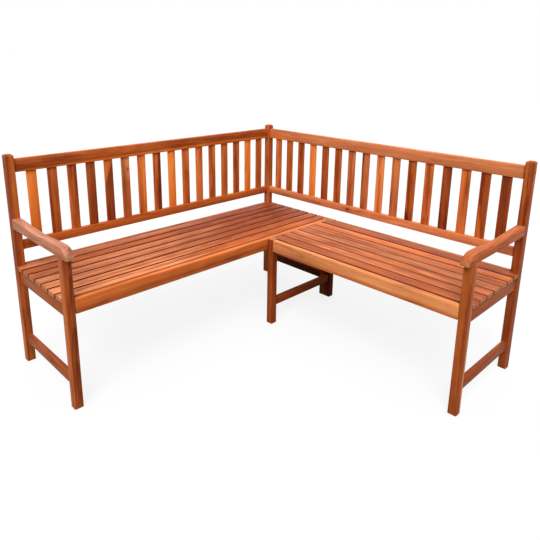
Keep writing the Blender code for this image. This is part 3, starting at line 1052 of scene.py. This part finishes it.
print("a bolt is", round((SHANK_LENGTH + HEAD_HEIGHT) * 1000, 1), "mm long")

# %% [markdown]
# The steel is zinc plated and has gone dull in the weather: grey, with faint brown clouds and a
# rough bloom. Metal takes its look from reflections, so its roughness varies more than its colour
# does.

# %% Weathered steel
BLOOM = (420.0, 420.0, 420.0)  # blots per metre of the brown clouds
GRIT = (2600.0, 2600.0, 2600.0)
STAIN_RIM = (0.42, 0.66)  # clean zinc below the first, stained above the second
CLEAN_ZINC = colour(150, 148, 144)
STAINED_ZINC = colour(112, 92, 74)
ZINC_ROUGHNESS = 0.22
BLOOM_ROUGHNESS = 0.4
GRIT_HEIGHT = 0.00005
GRIT_STRENGTH = 0.4


def weathered_steel():
    """Zinc with brown clouds, a rough bloom and a fine grit."""
    material = bpy.data.materials.new("weathered steel")
    material.use_nodes = True
    tree = material.node_tree
    place = add_node(tree, "ShaderNodeTexCoord").outputs["Object"]
    bloom = stretched_noise(tree, place, BLOOM, detail=3.0)["Fac"]
    grit = stretched_noise(tree, place, GRIT)["Fac"]
    shade = mix_colour(tree, soft_step(tree, bloom, *STAIN_RIM), CLEAN_ZINC, STAINED_ZINC)
    rough = calculate(tree, "MULTIPLY_ADD", bloom, BLOOM_ROUGHNESS, ZINC_ROUGHNESS)
    shader = finish_shader(tree, shade, rough, grit, GRIT_STRENGTH, GRIT_HEIGHT)
    shader.inputs["Metallic"].default_value = 1.0
    return material


steel = weathered_steel()
print("material:", steel.name)

# %% [markdown]
# The bolts go where the bores are: in the middle of the post across the wing, at half the height
# of the top rail, and with the head's seat at the floor of the wide bore.

# %% Two bolts
BORE_DEPTH = 0.010  # of the wide bore, from the post's face


def bolt(side, place, run, cross):
    """The bolt of one wing, with its head down in the post's bore."""
    post, rail = f"{side}_rear_post", f"{side}_top_rail"
    middle = sum(span(post, cross)) / 2
    up = sum(span(rail, 2)) / 2
    shape = bolt_shape(span(post, run)[0] + BORE_DEPTH, middle, up)
    return mesh_piece(f"{side}_bolt", shape, place, material=steel)


bolts = [bolt(*LEFT_WING), bolt(*RIGHT_WING)]
print("bolts:", len(bolts))

# %% [markdown]
# A plain pale floor carries the bench, and the surround is an even studio. What lights the bench
# grows brighter from the horizon to the ceiling, so the tops of the boards are brighter than
# their sides and the legs inside the frame fall into shade. To the camera, and in reflections,
# the surround is white paper instead. Light Path tells the two kinds of ray apart.

# %% Surround
HORIZON = 0.16  # light from there, where white paper has 1
CEILING = 0.52
CEILING_RISE = 0.9  # how steeply up the full light begins, where 1 is straight up
WHITE = (1, 1, 1, 1)


def rays_that_see(tree):
    """1 for what the camera sees, straight or in a reflection, 0 for the light on the bench."""
    path = add_node(tree, "ShaderNodeLightPath").outputs
    seen = calculate(tree, "MAXIMUM", path["Is Camera Ray"], path["Is Glossy Ray"])
    return calculate(tree, "MAXIMUM", seen, path["Is Transmission Ray"])


def studio_surround():
    """The world: dim to bright for the light, plain white to the eye."""
    world = bpy.data.worlds.new("surround")
    bpy.context.scene.world = world
    world.use_nodes = True
    tree = world.node_tree
    background = tree.nodes["Background"]
    background.inputs["Color"].default_value = WHITE
    direction = add_node(tree, "ShaderNodeTexCoord").outputs["Generated"]
    rise = soft_step(tree, parts_of(tree, direction)["Z"], 0.0, CEILING_RISE)
    light = calculate(tree, "MULTIPLY_ADD", rise, CEILING - HORIZON, HORIZON)
    rest = calculate(tree, "SUBTRACT", 1.0, light)
    strength = calculate(tree, "MULTIPLY_ADD", rays_that_see(tree), rest, light)
    fill(tree, background.inputs["Strength"], strength)


studio_surround()
print("the surround lights the bench with", HORIZON, "to", CEILING)

# %% [markdown]
# The floor reflects a seventh of the light, so little of it comes back up under the seats. To the
# eye such a floor would be grey, so it also glows for the rays that see, just enough to be white
# where nothing shades it. The bench's own shadow still takes its share away, and shows as a soft
# grey.

# %% Floor
FLOOR_SIZE = 30.0
FLOOR_GLOW = 0.83
FLOOR_GREY = (0.14, 0.14, 0.14, 1)


def pale_floor():
    """A wide sheet of pale paper that takes the shadow."""
    bm = bmesh.new()
    bmesh.ops.create_grid(bm, x_segments=1, y_segments=1, size=FLOOR_SIZE / 2)
    mesh = bpy.data.meshes.new("floor")
    bm.to_mesh(mesh)
    bm.free()
    floor = put_in_scene("floor", mesh)
    material = bpy.data.materials.new("pale floor")
    material.use_nodes = True
    tree = material.node_tree
    tree.nodes.clear()
    glow = calculate(tree, "MULTIPLY", rays_that_see(tree), FLOOR_GLOW)
    matt = add_node(tree, "ShaderNodeBsdfDiffuse", {"Color": FLOOR_GREY})
    paper = add_node(tree, "ShaderNodeEmission", {"Color": WHITE, "Strength": glow})
    both = add_node(tree, "ShaderNodeAddShader", {0: matt.outputs[0], 1: paper.outputs[0]})
    add_node(tree, "ShaderNodeOutputMaterial", {"Surface": both.outputs[0]})
    mesh.materials.append(material)


pale_floor()
print("the floor is", FLOOR_SIZE, "m wide")

# %% [markdown]
# Three wide lamps do the rest: one high to the left, which makes the faces that look left the
# brighter ones and throws a soft shadow under each rail, one overhead for the seats and a weak
# one behind. They are sun lamps with a wide angle, which act as very large soft boxes far away,
# so both wings get the same light.

# %% Lamps
LAMP_AWAY = 4  # a sun lamp lights the same from anywhere


def wide_lamp(name, towards, strength, angle):
    """A lamp in the direction towards. Its angle, in degrees, is how wide the bench sees it."""
    light = bpy.data.lights.new(name, "SUN")
    light.energy = strength
    light.angle = math.radians(angle)
    lamp = put_in_scene(name, light)
    lamp.location = LAMP_AWAY * Vector(towards)
    lamp.rotation_euler = Vector(towards).to_track_quat("Z", "Y").to_euler()


wide_lamp("left_lamp", (-0.55, -0.42, 0.72), strength=2.7, angle=35)
wide_lamp("overhead_lamp", (-0.1, -0.1, 0.99), strength=0.9, angle=60)
wide_lamp("back_lamp", (0.6, 0.6, 0.53), strength=0.8, angle=60)
